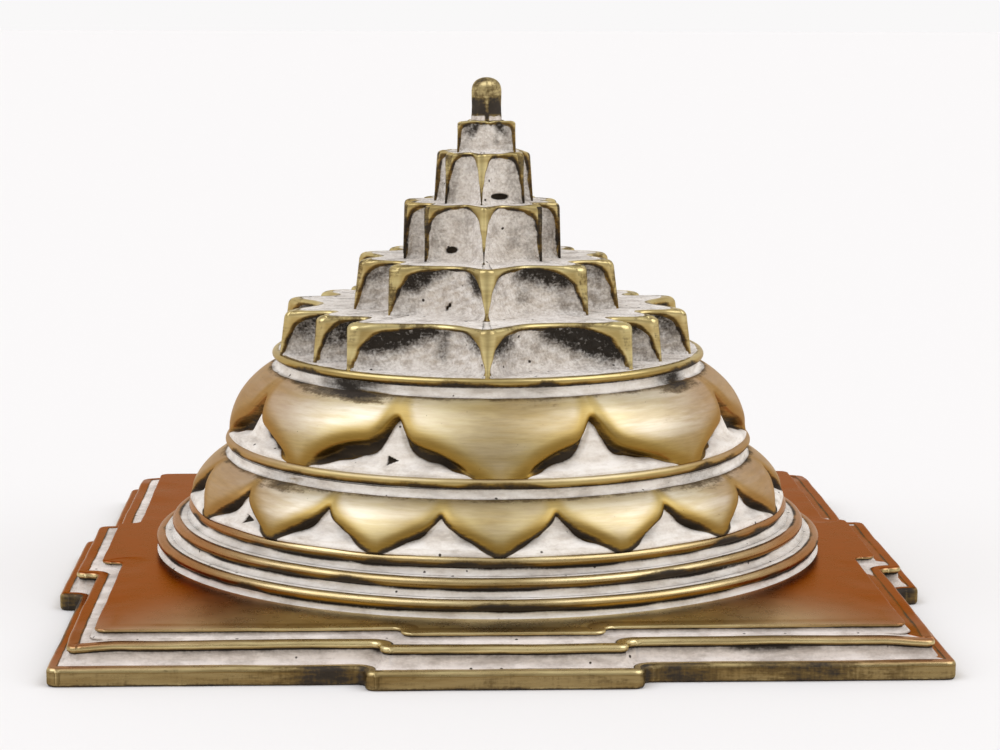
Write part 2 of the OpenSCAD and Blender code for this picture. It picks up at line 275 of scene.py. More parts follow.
def plinth_outline(half, gate, inset):
    """Outline of a square plate with a gate on each side, drawn in by inset, counter-clockwise.

    One side is lines and arcs from corner to corner, and is turned for the other three. With it
    comes the distance of each point from the middle of its side.
    """
    edge_steps, jamb_steps, bend_steps, corner_steps = 60, 4, 10, 8
    w = half - inset
    g = gate - inset
    front = -w - GATE_OUT
    corner = max(PLINTH_CORNER - inset, 0.05)
    bend = min(GATE_BEND + inset, GATE_OUT - corner - 0.1)

    def line(a, b, steps):
        t = np.linspace(0.0, 1.0, steps, endpoint=False)[:, None]
        return np.array(a) * (1.0 - t) + np.array(b) * t

    side = np.concatenate([
        line((-w + corner, -w), (-g - bend, -w), edge_steps),
        arc((-g - bend, -w - bend), bend, 90, 0, bend_steps),
        line((-g, -w - bend), (-g, front + corner), jamb_steps),
        arc((-g + corner, front + corner), corner, 180, 270, corner_steps),
        line((-g + corner, front), (g - corner, front), edge_steps),
        arc((g - corner, front + corner), corner, 270, 360, corner_steps),
        line((g, front + corner), (g, -w - bend), jamb_steps),
        arc((g + bend, -w - bend), bend, 180, 90, bend_steps),
        line((g + bend, -w), (w - corner, -w), edge_steps),
        arc((w - corner, -w + corner), corner, 270, 360, corner_steps)])
    turn = np.array([[0.0, 1.0], [-1.0, 0.0]])
    sides = [side]
    for _ in range(3):
        sides.append(sides[-1] @ turn)
    return np.concatenate(sides), np.tile(side[:, 0], 4)


def plinth_section(low, high, lip, setback, band):
    """Rows of a plinth's edge from its foot to its top: inset, height, chalk, dark and edge.

    A plinth with a lip has a chalk cove at its foot under the half-round lip. The lowest one has a
    plain face with rounded edges. A setback leaves a metal band and then a chalk channel at the foot
    of the plinth above.
    """
    bead_rows, face_rows, round_rows, band_rows, channel_rows = 13, 7, 11, 4, 5
    # Under the lip and atop the cove, tarnish and painted shade; on the lip, wear and a painted highlight
    if lip:
        tall = high - lip - low
        rows = [(-0.9, low - 0.3, 1.0, 0.0, 0.0),
                (-0.5, low, 1.0, 0.0, 0.0),
                (-0.1, low + 0.1 * tall, 1.0, 0.0, 0.0),
                (0.18, low + 0.25 * tall, 1.0, 0.05, 0.0),
                (0.36, low + 0.5 * tall, 0.95, 0.2, 0.0),
                (0.42, high - lip - 0.2, 0.9, 0.5, 0.0),
                (0.44, high - lip - 0.02, 0.4, 1.0, 0.0)]
        reach = lip / 2
        for turn in np.linspace(-80, 90, bead_rows):
            a = math.radians(turn)
            rows.append((reach - reach * math.cos(a), high - reach + reach * math.sin(a),
                         0.0, 0.95 * ramp(-turn, 12.0, 65.0), ramp(turn, -50.0, 20.0)))
    else:
        # At its foot, tarnish and painted shade; on its rounded top, wear and a painted highlight
        rows = [(0.5, low, 0.0, 0.9, 0.0),
                (0.2, low + 0.1, 0.0, 0.8, 0.2),
                (0.04, low + 0.35, 0.0, 0.4, 0.5)]
        rows += [(0.0, z, 0.0, 0.12, 0.25) for z in np.linspace(low + 0.6, high - 0.95, face_rows)]
        reach = 0.9
        for a in np.radians(np.linspace(0, 90, round_rows)):
            rows.append((reach * (1 - math.cos(a)), high - reach * (1 - math.sin(a)),
                         0.0, 0.1 * math.cos(a), math.sin(a) ** 0.5))
    if setback:
        inner = setback + 1.1
        rows += [(d, high, 0.0, 0.05, 0.75) for d in np.linspace(reach + 0.2, band - 0.25, band_rows)]
        rows += [(band - 0.05, high - 0.03, 0.3, 0.6, 0.4), (band + 0.2, high - 0.1, 0.85, 0.3, 0.0)]
        rows += [(d, high - 0.1 + 0.1 * ((d - band) / (inner - band)), 1.0, 0.0, 0.0)
                 for d in np.linspace(band + 0.45, inner, channel_rows)]
    else:
        rows += [(reach + d, high, 0.0, 0.0, 0.8 - 0.3 * d) for d in (0.25, 0.6, 1.1, 1.8, 2.6)]
    return np.array(rows)


def plinth(node, lip, setback, band, seed):
    """Square plate: its edge section carried round the gated outline, then flat to the hollow.

    Each row is the outline drawn in by its inset. The last rows blend the outline into the round
    hollow, go down its wall and back out along the underside of the register.
    """
    half, gate = PLINTH_HALF[node], GATE_HALF[node]
    low, high, under, bore = FOOT[node], TOP[node], LOW[node], BORE[node]
    section = plinth_section(low, high, lip, setback, band)
    inset, rise = section[:, 0], section[:, 1]
    base, across = plinth_outline(half, gate, 0.0)
    length = np.cumsum(np.linalg.norm(base - np.roll(base, 1, 0), axis=1))
    along = 2.0 * math.pi * length / length[-1]
    droop = -0.45 * ramp(np.abs(across), half - 9.0, half) * (lip > 1.0)
    waves = waver(along * 4, seed, 0.12) + droop
    shake = waver(along * 7, seed + 1, 0.08)[:, None]
    border = []
    for d, z in zip(inset, rise):
        lift = waves * ramp(z, low + 0.3, low + 1.2)
        border.append(np.column_stack([plinth_outline(half, gate, d)[0], np.minimum(z + lift, high)]))
    rim = border[-1]
    around = np.arctan2(rim[:, 0], -rim[:, 1])
    hole = bore * np.stack([np.sin(around), -np.cos(around)], -1)
    plug = hole if under == low else hole * plug_radius(node) / bore
    plate = []
    for t in np.linspace(0.0, 1.0, PLATE_ROWS)[1:]:
        height = mix(rim[:, 2], rise[-1], min(6 * t, 1.0))
        plate.append(np.column_stack([mix(rim[:, :2], hole, t), height]))
    for ring, height in ((hole, under), (plug, under), (plug, low)):
        plate.append(np.column_stack([ring, np.full(len(ring), height)]))
    points = np.stack(border + plate)
    points[:len(section), :, :2] += shake

    # The channel has lost most of its chalk on the right and some on the left
    parts = (section, plate)
    flat = 1.0 if setback else 0.0
    channel = stacked(parts, (inset > band - 0.3, 1.0)) * flat
    x, y = base[:, 0], np.abs(base[:, 1])
    lost = 0.9 * ramp(x - y, -5.0, 2.0) + 0.1 * ramp(-x - y, -5.0, 2.0)
    lost = lost * (1.0 - 0.8 * bump(y, gate, 6.0))
    chalk = stacked(parts, (section[:, 2], flat)) * (1.0 - channel * lost)

    # Stains along the front of each side, and painted shade and tarnish on the short walls where a gate
    # stands out
    stains = COVE_STAINS if lip else FACE_STAINS
    stain = sum(k * bump(across, at, wide) for at, wide, k in stains)
    if lip:
        stain = stain + (0.2 + waver(along * 6, seed + 5, 0.3))
        front = ramp(rise, low + 0.3, high - lip) * (rise < high - lip)
    else:
        front = ramp(-inset, -0.9, -0.6)
    stain = np.maximum(stain, 0.8 * bump(np.abs(across), gate + 0.6, 1.3))
    dark = np.maximum(stacked(parts, (section[:, 3], 0.0)), stain * stacked(parts, (front, 0.0)))

    # Copper on what lies level, away from the front, partly a painted reflection of a red wall
    copper_and_reflection = ramp(1.2 * np.abs(points[..., 0]) + points[..., 1], -34.0, 34.0)
    copper_and_reflection = copper_and_reflection * stacked(parts, (ramp(rise, high - 0.5, high - 0.02), 1.0))
    # The rest of the plate has a painted brighter reflection, and the edge rows keep their worn edges
    edge = np.maximum(stacked(parts, (section[:, 4], 0.0)), stacked(parts, (0.0, 0.9)) * (1.0 - copper_and_reflection))
    # The upright face of the lowest plinth is painted olive and darker, as painted shade
    face = stacked(parts, (ramp(-inset, -0.3, -0.05) * (lip == 0.0), 0.0))
    masks = {"chalk": chalk, "dark": dark, "edge": edge, "copper_and_reflection": copper_and_reflection, "deep": face}
    make_piece(node + "_casting", node, "plinth_brass", points, masks)


# Circle steps

def circle_step(node, seed):
    """Ring turned about the axis with a slight hand-made waver.

    Its closed section is a cove, a neck, a half-round lip, a ledge that runs in under the next step,
    the hollow and the register.
    """
    low, high, lip_r, under = FOOT[node], TOP[node], LIP_R[node], LOW[node]
    plug_r, bore = plug_radius(node), BORE[node]
    riser = lip_r - 0.8
    bead_r = 0.92
    turn = np.linspace(-LIP_TURN, STEP_LIP_TURN, STEP_BEAD_ROWS)
    cove = arc((riser + 1.0, low + 0.95), 1.0, 275, 180, COVE_ROWS)
    neck = np.array([(riser - 0.02, high - 2 * bead_r - 0.1)])
    bead = arc((lip_r - bead_r, high - bead_r), bead_r, -LIP_TURN, STEP_LIP_TURN, STEP_BEAD_ROWS)
    ledge_r = np.linspace(lip_r - bead_r - 0.1, lip_r - STEP_IN - 1.1, STEP_LEDGE_ROWS)
    away = lip_r - ledge_r
    ledge = np.stack([ledge_r, high - 0.12 * ramp(away, 1.3, 2.0)], -1)
    inside = np.array([(bore, high), (bore, under), (plug_r, under), (plug_r, low)])
    parts = (cove, neck, bead, ledge, inside)
    section = np.concatenate(parts)

    # Lip top worn, with a painted highlight; under it and in the cove's creases, tarnish and painted shade
    chalk = stacked(parts, (1.0, 0.7, 0.0, ramp(away, 1.35, 1.85), 0.0))
    edge = stacked(parts, (0.0, 0.0, ramp(turn, -20.0, 45.0), 1.0 - ramp(away, 1.0, 1.5), 0.0))
    turned_down = stacked(parts, (-180.0, 60.0, -turn, -180.0, -180.0))
    cove_shade_and_grime = np.append(np.linspace(0.25, 0.05, COVE_ROWS - 2), [0.4, 0.75])
    groove_and_shade = stacked(parts, (cove_shade_and_grime, 1.0, 0.0, 0.55 * bump(away, 1.5, 0.35), 0.0))

    angle = angles(ROUND_COLUMNS)
    seat_r = plug_r + FIT
    outer = ramp(section[:, :1], seat_r + 1.0, seat_r + 3.0)
    radius = section[:, :1] + waver(angle, seed, 0.14) * outer
    height = section[:, 1:] + waver(angle * 2, seed + 2, 0.08) * outer * (chalk < 0.5)
    tarnish = turned_down + lip_wear(angle, seed)
    unevenness = 1.0 + waver(angle * 4, seed + 3, 0.9)
    masks = {"chalk": chalk, "dark": np.maximum(ramp(tarnish, -10.0, 80.0), groove_and_shade * unevenness),
             "edge": edge, "deep": ramp(tarnish, -45.0, 15.0)}
    make_piece(node + "_casting", node, "step_brass", turned(radius, height, angle), masks)


# Lotus rings

def bowl_radius(z, foot, belly, top):
    """Radius at height z on the arc through three (r, z) points of a petal bowl."""
    (ax, ay), (bx, by), (cx, cy) = foot, belly, top
    d = 2 * (ax * (by - cy) + bx * (cy - ay) + cx * (ay - by))
    a2, b2, c2 = ax * ax + ay * ay, bx * bx + by * by, cx * cx + cy * cy
    ux = (a2 * (by - cy) + b2 * (cy - ay) + c2 * (ay - by)) / d
    uy = (a2 * (cx - bx) + b2 * (ax - cx) + c2 * (bx - ax)) / d
    reach = math.hypot(ax - ux, ay - uy)
    return ux + np.sqrt(np.maximum(reach ** 2 - (z - uy) ** 2, 0.0))


def recess_top(x, spire, half, fall):
    """Height of a recess at distance x from its middle: a bell-like spire on sloping shoulders."""
    bell = spire.height * np.exp(-(x / spire.width) ** spire.blunt)
    return bell + spire.shoulder * (1.0 - np.minimum(x / half, 1.25) ** fall)


def petal_recesses(angle, climb, count, foot_r, spire, back_spire, back_fall, flanks, seed):
    """Depth of each point of a bowl under the petals' outline and under the back petals' outline.

    The flanks give each recess the half width and the fall of its left and right shoulder. A depth
    is the height below an outline, taken square to it, and made round where two recesses meet at a
    petal's tip. The angle from the middle of the recess comes first.
    """
    pitch = 2.0 * math.pi / count
    turn = np.floor(angle / pitch)
    off = (angle / pitch - turn - 0.5) * pitch
    hand = np.sin(turn * 2.7 + seed) * 0.5 + np.sin(turn * 5.3 + seed) * 0.5
    shoulders = np.array([flanks.get(i, flanks["rest"]) for i in range(count)])[turn[0].astype(int)]
    half = np.where(off > 0, shoulders[:, 2], shoulders[:, 0])
    fall = np.where(off > 0, shoulders[:, 3], shoulders[:, 1])
    slip = off + 0.01 * hand
    lean = -0.5 * np.sin(2.0 * (turn + 0.5) * pitch)
    outline = recess_top(np.abs(slip) * foot_r, spire, half, fall) * (1 + 0.03 * hand)
    back = recess_top(np.abs(slip - lean / foot_r) * foot_r, back_spire, half * 0.97, back_fall)
    back = back + 0.1 * np.sin(angle * 61 + seed)
    step = 2.0 * math.pi * foot_r / PETAL_COLUMNS
    tip = ramp(np.abs(off) / pitch, 0.47, 0.497)
    depths = []
    for curve in (outline, back):
        slope = np.abs(np.gradient(curve[0])) / step
        depths.append(rounded((curve - climb) / np.sqrt(1.0 + slope ** 2), tip, rounds=12))
    return off, depths[0], depths[1]


def plain_rows(table, tarnish=()):
    """Turned rows of a lotus ring from a table of radius, height, chalk, dark and edge.

    Tarnish, where given, is the dark of the last rows, with painted shade. What is dark is olive too.
    """
    keys = ("radius", "height", "chalk", "dark", "edge")
    rows = {key: np.repeat(table[:, [i]], PETAL_COLUMNS, 1) for i, key in enumerate(keys)}
    if len(tarnish):
        rows["dark"][-len(tarnish):] = tarnish
    rows["deep"] = np.minimum(2.5 * rows["dark"], 1.0)
    return rows


def lotus_ring(node, count, foot, belly, top, spire, back_spire, back_fall, flanks, cut, neck_r,
               stains, pits, seed):
    """Ring of petals: the bowl radius less a recess between each two petals.

    A recess lies under the outline of the petals' gold edges, which have a broad round bevel. In it
    stands the tip of a back petal, under a lower outline of the same kind, which is chalky while the
    wall between the two outlines is dark. Stains are given by azimuth, width and strength, pits by
    place and half size. Lip rows come before the bowl, neck rows after.
    """
    low, high, under, bore = FOOT[node], TOP[node], LOW[node], BORE[node]
    plug_r = plug_radius(node)
    bowl_low, bowl_high = foot[1], top[1]
    angle = angles(PETAL_COLUMNS)
    z = (bowl_low + (bowl_high - bowl_low) * np.linspace(0.0, 1.0, BOWL_ROWS) ** 1.1)[:, None]
    climb = z - bowl_low
    off, inside, inside_back = petal_recesses(angle, climb, count, foot[0], spire, back_spire,
                                              back_fall, flanks, seed)

    swell = 0.2 * np.cos(count * angle) * ramp(bowl_high - z, 0.0, 6.0)
    petal = bowl_radius(z, foot, belly, top) + swell
    floor = petal - cut.depth * ramp(climb, 0.0, 2.4) + 0.3 * cut.depth * ramp(inside_back, -0.3, 1.0)
    floor = np.minimum(floor, petal - 0.3 * ramp(climb, 0.2, 1.0))
    sunk = 0.2 * np.clip(1.0 + inside / cut.bevel, 0.0, 1.0) ** 2 + 0.8 * ramp(inside, -0.15, 1.0)
    radius = mix(petal, floor, sunk)

    # Chalk on the back petals, and walls dark with painted shade and tarnish
    chalk = ramp(inside_back, -0.45, 0.45) * ramp(inside, 0.25, 0.85)
    shaded = ramp(inside, -0.65, cut.shade) * (1.0 - 0.85 * chalk)
    brim = ramp(z, bowl_high - 0.9, bowl_high)
    # Quarters of the bowl rubbed pale and painted with a highlight
    quarter = ramp(z, mix(bowl_low, bowl_high, 0.25), mix(bowl_low, bowl_high, 0.7))
    rubbed_and_highlight = np.sin(2.0 * angle) ** 2 * quarter
    edge = (0.25 + 0.6 * rubbed_and_highlight) * ramp(-inside, 0.6 * cut.bevel, 1.7 * cut.bevel)
    # Olive bevels, partly a painted darker reflection, kept pale at a bright crest
    crest = bump(off * foot[0], 0.0, 3.0) * ramp(-inside, 0.3, 0.9)
    deep = ramp(inside, -1.6 * cut.bevel, -0.2 * cut.bevel) * (1.0 - 0.75 * crest)
    degrees = np.degrees(np.angle(np.exp(1j * angle)))
    smear = sum(k * bump(degrees, at, wide) for at, wide, k in stains)
    near_top = ramp(z, bowl_high - 1.9, bowl_high - 0.1)
    dark = np.maximum(shaded, 0.2 * chalk * ramp(climb, 2.0, 6.0))
    dark = np.maximum(dark, np.maximum(smear * near_top, 0.35 * brim ** 3))

    # Casting pits: small dents, flat at the left and pointed at the right
    for at_x, at_z, half_w, half_h in pits:
        share = (petal * np.sin(angle) - at_x + half_w) / (2.0 * half_w)
        reach = np.minimum(4.0 * share, 1.0 - share - np.abs(z - at_z) / half_h)
        pit = ramp(reach, 0.0, 0.35) * (np.cos(angle) > 0.0)
        radius = radius - 0.7 * pit
        dark = np.maximum(dark, 1.6 * pit)
        chalk = chalk * (1.0 - pit)

    # Plain rows above the bowl and through the hollow: radius, height, chalk, dark and edge
    bowl = {"radius": radius, "height": np.broadcast_to(z, radius.shape), "chalk": chalk,
            "dark": dark, "edge": edge, "deep": deep}
    neck = plain_rows(np.array([(top[0] - 0.35, bowl_high + 0.02, 0.35, 0.5, 0.5),
                                (neck_r + 0.5, bowl_high + 0.1, 0.9, 0.4, 0.0),
                                (neck_r + 0.15, bowl_high + 0.3, 1.0, 0.2, 0.0),
                                (neck_r, bowl_high + 0.6, 1.0, 0.1, 0.0),
                                (neck_r, high - 0.1, 1.0, 0.3, 0.0),
                                (neck_r, high, 0.8, 0.9, 0.0),
                                (bore, high, 0.0, 0.2, 0.0),
                                (bore, under, 0.0, 0.2, 0.0),
                                (plug_r, under, 0.0, 0.2, 0.0),
                                (plug_r, low, 0.0, 0.2, 0.0)]))
    strips = [bowl, neck]

    # A lip under the bowl, its top worn with a painted highlight, tarnish and painted shade under it
    if node in LIP_R:
        neck_in = LIP_R[node] - NECK_REACH
        bead_r = 0.86
        bead, turn, worn = lip_bead(LIP_R[node], bowl_low, bead_r, angle, seed)
        blank = np.zeros(BEAD_ROWS)
        lip = np.vstack([(neck_in, low, 0.95, 0.3, 0.0),
                         (neck_in - 0.05, bowl_low - 2 * bead_r - 0.05, 0.6, 0.8, 0.0),
                         np.column_stack([bead, blank, blank, 0.35 * ramp(turn, 0.0, 60.0)])])
        strips.insert(0, plain_rows(lip, worn))
    masks = {key: np.concatenate([strip[key] for strip in strips]) for key in bowl}
    radius, height = masks.pop("radius"), masks.pop("height")

    outer = ramp(radius, plug_r + 0.5, plug_r + 2.5)
    radius = radius + waver(angle, seed, 0.12) * outer
    height = height + waver(angle, seed + 1.3, 0.07) * outer * ramp(height, low, low + 1.0)
    neck_smear = smear * ramp(height, bowl_high - 0.3, bowl_high) * (radius > neck_r - 0.5)
    masks["dark"] = np.maximum(masks["dark"], 0.85 * neck_smear)
    masks["chalk"] = masks["chalk"] * (1.0 - 0.55 * neck_smear)
    make_piece(node + "_casting", node, "petal_brass", turned(radius, height, angle), masks)


# Star tiers

def round_star(quarter, front):
    """Corners all the way round from the front quarter, mirrored; the front point is turned a little."""
    right = quarter + [(180 - a, share) for a, share in quarter[-2::-1]]
    return [(front, quarter[0][1])] + right[1:] + [(-a, share) for a, share in right[-2:0:-1]]


def star_outline(corners, radius, lean):
    """Outline of a star at each height, as columns along its walls, and their distance from a ridge.

    Each point is a ridge with a flat that widens as it leans in, and a faint crease along the flat.
    The walls run from the flats to the valleys, which a running mean makes round.
    """
    count = len(corners)
    ring, reach, soft = [], [], []
    t = np.linspace(0.0, 1.0, WALL_COLUMNS) ** 1.25
    for i in range(0, count, 2):
        a = math.radians(corners[i][0])
        out = np.array([math.sin(a), -math.cos(a)])
        side = np.array([math.cos(a), math.sin(a)])
        tip_r = radius * corners[i][1]
        half_flat = 0.1 + 0.8 * lean
        for way in (-1, 1):
            b = math.radians(corners[(i + way) % count][0])
            valley = radius * corners[(i + way) % count][1] * np.array([math.sin(b), -math.cos(b)])
            tip = (tip_r - lean)[:, None] * out + way * half_flat[:, None] * side
            wall = tip[:, None, :] * (1 - t[None, :, None]) + valley * t[None, :, None]
            length = np.linalg.norm(tip_r * out - valley) * t
            weight = ramp(t, 0.55, 0.95)
            if way < 0:
                crease = ((tip_r - lean + 0.3 * half_flat)[:, None] * out)[:, None, :]
                wall = np.concatenate([wall[:, :0:-1], wall[:, :1], crease], 1)
                length = np.concatenate([length[:0:-1], [0.0, -0.3]])
                weight = np.concatenate([weight[:0:-1], [0.0, 0.0]])
            ring.append(wall)
            reach.append(length)
            soft.append(weight)
    soft = np.concatenate(soft)[None, :, None]
    return rounded(np.concatenate(ring, 1), soft, rounds=24), np.concatenate(reach)[None, :]


def niche_inside(wall, niche, ridge, spandrel, seed):
    """How far a wall's points lie in their niche: the soft lesser of two distances.

    One is taken from the ridge, which widens to a spandrel under the rim, and one from the rim. The
    front ridge flares on its own.
    """
    side = 1.0 - 0.75 * ramp(np.abs(wall.turn), 0.78, 0.95)
    left = 1.0 - 0.3 * (wall.turn < 0.0)
    broad = spandrel.width * side * left * np.exp(-wall.down / spandrel.decay)
    upright = ridge.foot + ridge.flat * wall.up
    flared = upright + ridge.flare * np.exp(-wall.down / ridge.decay)
    half_ridge = mix(ridge.side * upright + broad, flared, wall.facing)
    from_ridge = wall.reach - half_ridge * (1.0 + 0.12 * np.sin(wall.z * 2.1 + wall.turn * 7 + seed))
    ripple = 0.25 * np.sin(wall.turn * 9 + seed) + 0.15 * np.sin(wall.turn * 23 + 2 * seed)
    from_rim = wall.down - niche.rim * (1.0 + ripple)
    bend = 1.3 / (0.5 + ridge.flare)
    return -np.log(np.exp(-bend * from_ridge) + np.exp(-bend * from_rim)) / bend


def crumpled(along, up, seed):
    """Lumps of a niche's wall: two products of slanting sine waves, about 4 and 2 mm long."""
    broad = np.sin(1.7 * along + 0.7 * up + seed) * np.sin(1.5 * up - 0.6 * along + 2 * seed)
    fine = np.sin(2.9 * along - 1.3 * up) * np.sin(2.6 * up + 1.6 * along + seed)
    return broad + 0.7 * fine


def worn_in(corner_r, below_top):
    """How far a corner of a given radius is worn in, at a distance below its top."""
    off_round = np.clip(corner_r - below_top, 0.0, corner_r)
    return corner_r - np.sqrt(corner_r ** 2 - off_round ** 2)


def tier_masks(wall, ridge_shade, soot_and_shade, smudges_and_shade, deck_in, seed):
    """Masks of a star tier: smoky chalk with painted shade in niches, worn gold on ridges and rim, chalk on
    deck.

    The smoke and the painted shade gather at the top of a niche, under its rim, and at its ridges. A
    smudge of smoke and painted shade is given by azimuth, width and strength, and one of negative
    strength wipes them off. deck_in is the distance of each deck row from the rim.
    """
    turn, up, down, reach, inside = wall.turn, wall.up, wall.down, wall.reach, wall.inside
    # Painted shade and smoke gather under the rim and near the side ridges
    corner = (1.0 - ramp(reach / reach.max(), 0.25, 0.9)) * (1.0 - 0.8 * bump(turn, 0.0, 0.25))
    smoke = up + 0.35 * corner + 0.12 * np.sin(turn * 4 + seed) + 0.08 * np.sin(turn * 11 + 2 * seed)
    side_fade = 1.0 - 0.45 * ramp(np.abs(turn), 0.7, 1.0)
    soot_and_shade_mask = soot_and_shade * ramp(smoke, 0.95 - 0.6 * soot_and_shade, 1.15) * side_fade
    for at, wide, strength in smudges_and_shade:
        spot = strength * bump(np.degrees(turn), at, wide)
        if strength > 0.0:
            soot_and_shade_mask = np.maximum(soot_and_shade_mask, spot * ramp(up, 0.0, 0.35))
        else:
            soot_and_shade_mask = soot_and_shade_mask * (1.0 + spot)
    # A faint painted shade and smoke over each niche, most near its side ridges
    faint_shade_and_soot = np.maximum(0.22 * soot_and_shade * ramp(smoke, 0.15, 0.6), 0.38 * corner)
    soot_and_shade_mask = np.maximum(soot_and_shade_mask, faint_shade_and_soot) * ramp(inside, -0.1, 0.4)
    line = (0.7 + 0.3 * np.sin(turn * 17 + wall.z + seed)) * bump(inside, 0.15, 0.32) * ramp(up, 0.03, 0.3)
    foot_shade = np.maximum(ramp(-up, -0.45, -0.1), 0.75 * (1.0 - wall.facing)) * (reach < 0.3)
    # Painted shade and olive where the gold turns into the niche
    bevel = ramp(inside, -0.7, 0.0) * ramp(-inside, -0.3, 0.0)
    dark = np.maximum.reduce([soot_and_shade_mask, line, ridge_shade * foot_shade, 0.5 * bevel, 1.5 * wall.hole])
    foot_chalk = ramp(-up, -0.1, -0.02) * (reach > 0.4)
    chalk = np.maximum(ramp(inside, -0.15, 0.7), foot_chalk) * (1.0 - wall.hole)
    crest = np.maximum(ramp(-down, -1.5, -0.7), 1.0 - ramp(reach, 0.3, 1.2))
    edge = (0.3 + 0.7 * crest) * (1.0 - ramp(inside, -0.6, -0.1))
    worn = 0.35 + 0.35 * np.sin(turn[-1:] * 13 + 3 * seed)

    def whole(on_wall, on_rim, on_deck):
        columns = reach.shape[1]
        return np.concatenate([on_wall, np.broadcast_to(on_rim, (len(RIM_TURNS), columns)),
                               np.broadcast_to(on_deck, (len(deck_in), columns))])

    return {"chalk": whole(chalk, 0.0, ramp(deck_in, 0.5, 1.1)),
            "dark": whole(dark, 0.5 * worn, worn * bump(deck_in, 0.6, 0.4)),
            "edge": whole(edge, 1.0, 1.0 - ramp(deck_in, 0.3, 0.8)),
            "deep": whole(bevel, 0.0, 0.0)}


def star_tier(node, corners, radius, lean_rate, niche, ridge, spandrel, corner_r, soot_and_shade, smudges_and_shade, holes,
              inner_share, shift, seed):
    """Star tier: leaning ridges, arched niches between them, a rounded rim and a deck.

    Rows go up the wall, round over the rim and in along the deck to the middle. A niche is the wall
    sunk by its depth where niche_inside is above 0, which gives it an arched top. Its foot is pushed
    out into a round cove, its wall is crumpled, and casting holes are small dents given by place,
    half size and slant. Each ridge's top corner is worn round.
    """
    low = FOOT[node] + (TIER_LIP_H if node in LIP_R else 0.0)
    high = TOP[node]
    tall = high - low
    rim = min(0.75, niche.rim * 0.92)
    share = np.linspace(0.0, 1.0, WALL_ROWS) ** 1.12
    z = (low + share * (tall - rim))[:, None]
    outline, reach = star_outline(corners, radius, lean_rate * share * tall)
    along = np.roll(outline, -1, 1) - np.roll(outline, 1, 1)
    outward = np.stack([along[..., 1], -along[..., 0]], -1)
    outward /= np.linalg.norm(outward, axis=-1, keepdims=True)
    turn = np.arctan2(outline[..., 0], -outline[..., 1])
    wall = SimpleNamespace(z=z, up=share[:, None], down=high - z, turn=turn, reach=reach,
                           facing=bump(turn, 0.0, 0.3))
    up = wall.up
    wall.inside = niche_inside(wall, niche, ridge, spandrel, seed)

    rise = np.clip(niche.cove - up * (tall - rim), 0.0, niche.cove)
    spread = (niche.cove - np.sqrt(niche.cove ** 2 - rise ** 2)) * ramp(reach, 0.05, 0.9)
    belly = 0.75 + 0.25 * np.sin(math.pi * np.clip(up * 1.1, 0, 1))
    push = spread - niche.depth * ramp(wall.inside, -0.5, 0.8) * belly
    lumps = crumpled(turn * radius, z, seed) * ramp(wall.inside, 0.3, 1.6) * ramp(up, 0.0, 0.2)
    push = push + niche.crumple * lumps
    wall.hole = np.zeros_like(wall.inside)
    for at_x, at_z, half_w, half_h, slant in holes:
        dx = outline[..., 0] + shift - at_x
        dz = z - at_z
        near = ((dx - slant * dz) / half_w) ** 2 + (dz / half_h) ** 2
        wall.hole = np.maximum(wall.hole, np.exp(-near ** 2) * (outline[..., 1] < 0.0))
    outline = outline + outward * (push - 0.9 * wall.hole)[..., None]

    at_ridge = (bump(reach, 0.0, 2.2) * (1.0 - 0.75 * wall.facing[-1:]))[..., None]
    middle = outline / np.linalg.norm(outline, axis=-1, keepdims=True)
    outline = outline - middle * at_ridge * worn_in(corner_r, wall.down)[..., None]
    sag = 0.09 * np.sin(turn * 5 + seed) + 0.05 * np.sin(turn * 11 + 2 * seed)
    height = z + sag * up - 0.3 * (up == 0.0)
    rows = [np.concatenate([outline, height[..., None]], -1)]
    top, top_z = outline[-1], height[-1]
    inward = -rim * outward[-1]
    wear = middle[-1] * at_ridge[0]
    for a in np.radians(RIM_TURNS):
        worn_more = worn_in(corner_r, rim * (1 - math.sin(a))) - worn_in(corner_r, rim)
        ring = top + inward * (1 - math.cos(a)) - wear * worn_more
        rows.append(np.column_stack([ring, top_z + rim * math.sin(a)])[None])
    edge_ring = top + inward - wear * (corner_r - worn_in(corner_r, rim))
    inner = edge_ring / np.linalg.norm(edge_ring, axis=-1, keepdims=True) * radius * inner_share
    deck_share = np.linspace(0.0, 1.0, DECK_ROWS)[1:] ** 1.3
    for t in deck_share:
        deck_z = mix(top_z + rim, high, t) - 0.12 * math.sin(math.pi * t)
        rows.append(np.column_stack([mix(edge_ring, inner, t), deck_z])[None])
    points = np.concatenate(rows) + np.array([shift, 0.0, 0.0])
    deck_in = deck_share[:, None] * radius * (1.0 - inner_share)
    masks = tier_masks(wall, ridge.shade, soot_and_shade, smudges_and_shade, deck_in, seed)
    make_piece(node + "_casting", node, "tier_brass", points, masks, pole=True)


